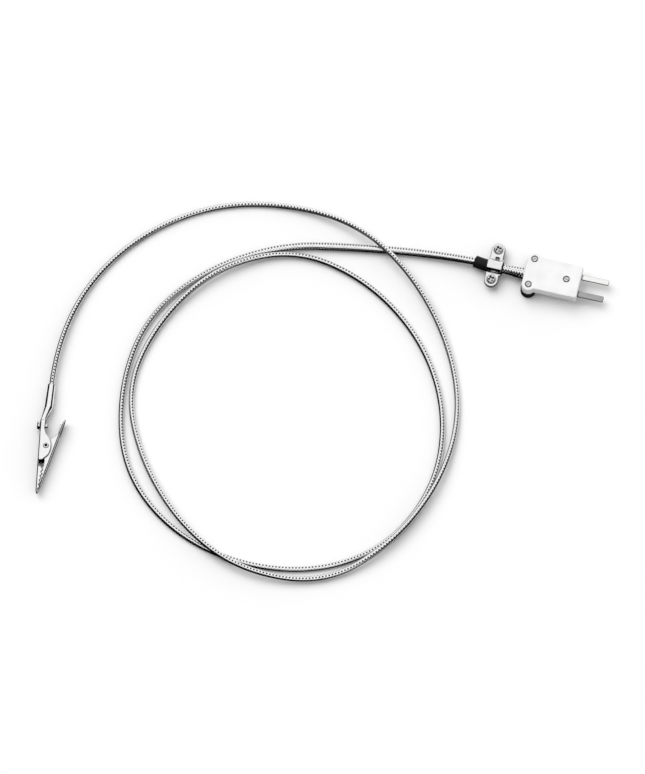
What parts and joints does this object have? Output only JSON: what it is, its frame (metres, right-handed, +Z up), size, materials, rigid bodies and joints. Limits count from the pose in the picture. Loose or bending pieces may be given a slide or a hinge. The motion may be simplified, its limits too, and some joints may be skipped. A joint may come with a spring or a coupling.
{
  "type": "thermocouple",
  "caption": "Clip thermocouple probe: flat-blade plug, clamped braided lead lying in loose turns, and a spring clip that holds the measuring junction.",
  "frame": {"origin": "centre of the plug cover's underside, on the surface that the probe lies on", "axes": "+X along the plug's blades, away from the lead; +Z up from the surface; +Y across the plug, towards the narrow positive blade"},
  "size_m": [0.2237, 0.1722, 0.0087],
  "materials": {
    "housing": "moulded white, slightly satin",
    "housing_under": "moulded white, slightly satin",
    "blade_bright": "rolled alloy strip",
    "blade_dull": "rolled alloy strip, duller",
    "screw_steel": "plated screw steel",
    "insulation_one": "woven sleeving",
    "insulation_two": "woven sleeving",
    "nut_black": "black, slightly satin",
    "insert_brass": "turned",
    "braid": "fine woven wire",
    "sleeve": "shrunk tube, satin black",
    "clamp_steel": "bright plated sheet",
    "clip_chrome": "bright plated sheet",
    "spring_steel": "drawn wire"
  },
  "bodies": {
    "probe": {"plug_top_shell": "housing", "plug_bottom_cover": "housing_under", "blade_positive": "blade_bright", "blade_negative": "blade_dull", "terminal_screws": "screw_steel", "terminal_washers": "screw_steel", "conductor_positive": "blade_bright", "conductor_negative": "blade_dull", "insulation_positive": "insulation_one", "insulation_negative": "insulation_two", "ear_screws": "screw_steel", "ear_nuts": "nut_black", "front_screw": "screw_steel", "front_nut": "insert_brass", "braid_tail": "braid", "heat_shrink_sleeve": "sleeve", "clamp_strap": "clamp_steel", "clamp_bracket": "clamp_steel", "clamp_screws": "screw_steel", "cable_thick_end": "braid", "cable": "braid", "clip_fixed_jaw": "clip_chrome", "clip_pivot_rivet": "clip_chrome", "clip_screw": "clip_chrome", "clip_spring": "spring_steel", "cable_tip": "braid", "junction_wires": "blade_bright", "measuring_junction": "blade_bright"},
    "clip_lever": {"clip_moving_jaw": "clip_chrome", "clip_spring_leg": "spring_steel"}
  },
  "joints": [
    {"name": "clip_hinge", "type": "hinge", "parent": "probe", "child": "clip_lever", "pos_m": [-0.19277, -0.12513, 0.00295], "axis": [0, 0, 1], "range_deg": [0, 25], "stiffness_Nm_per_rad": 0.05, "springref_deg": -20.05}
  ]
}
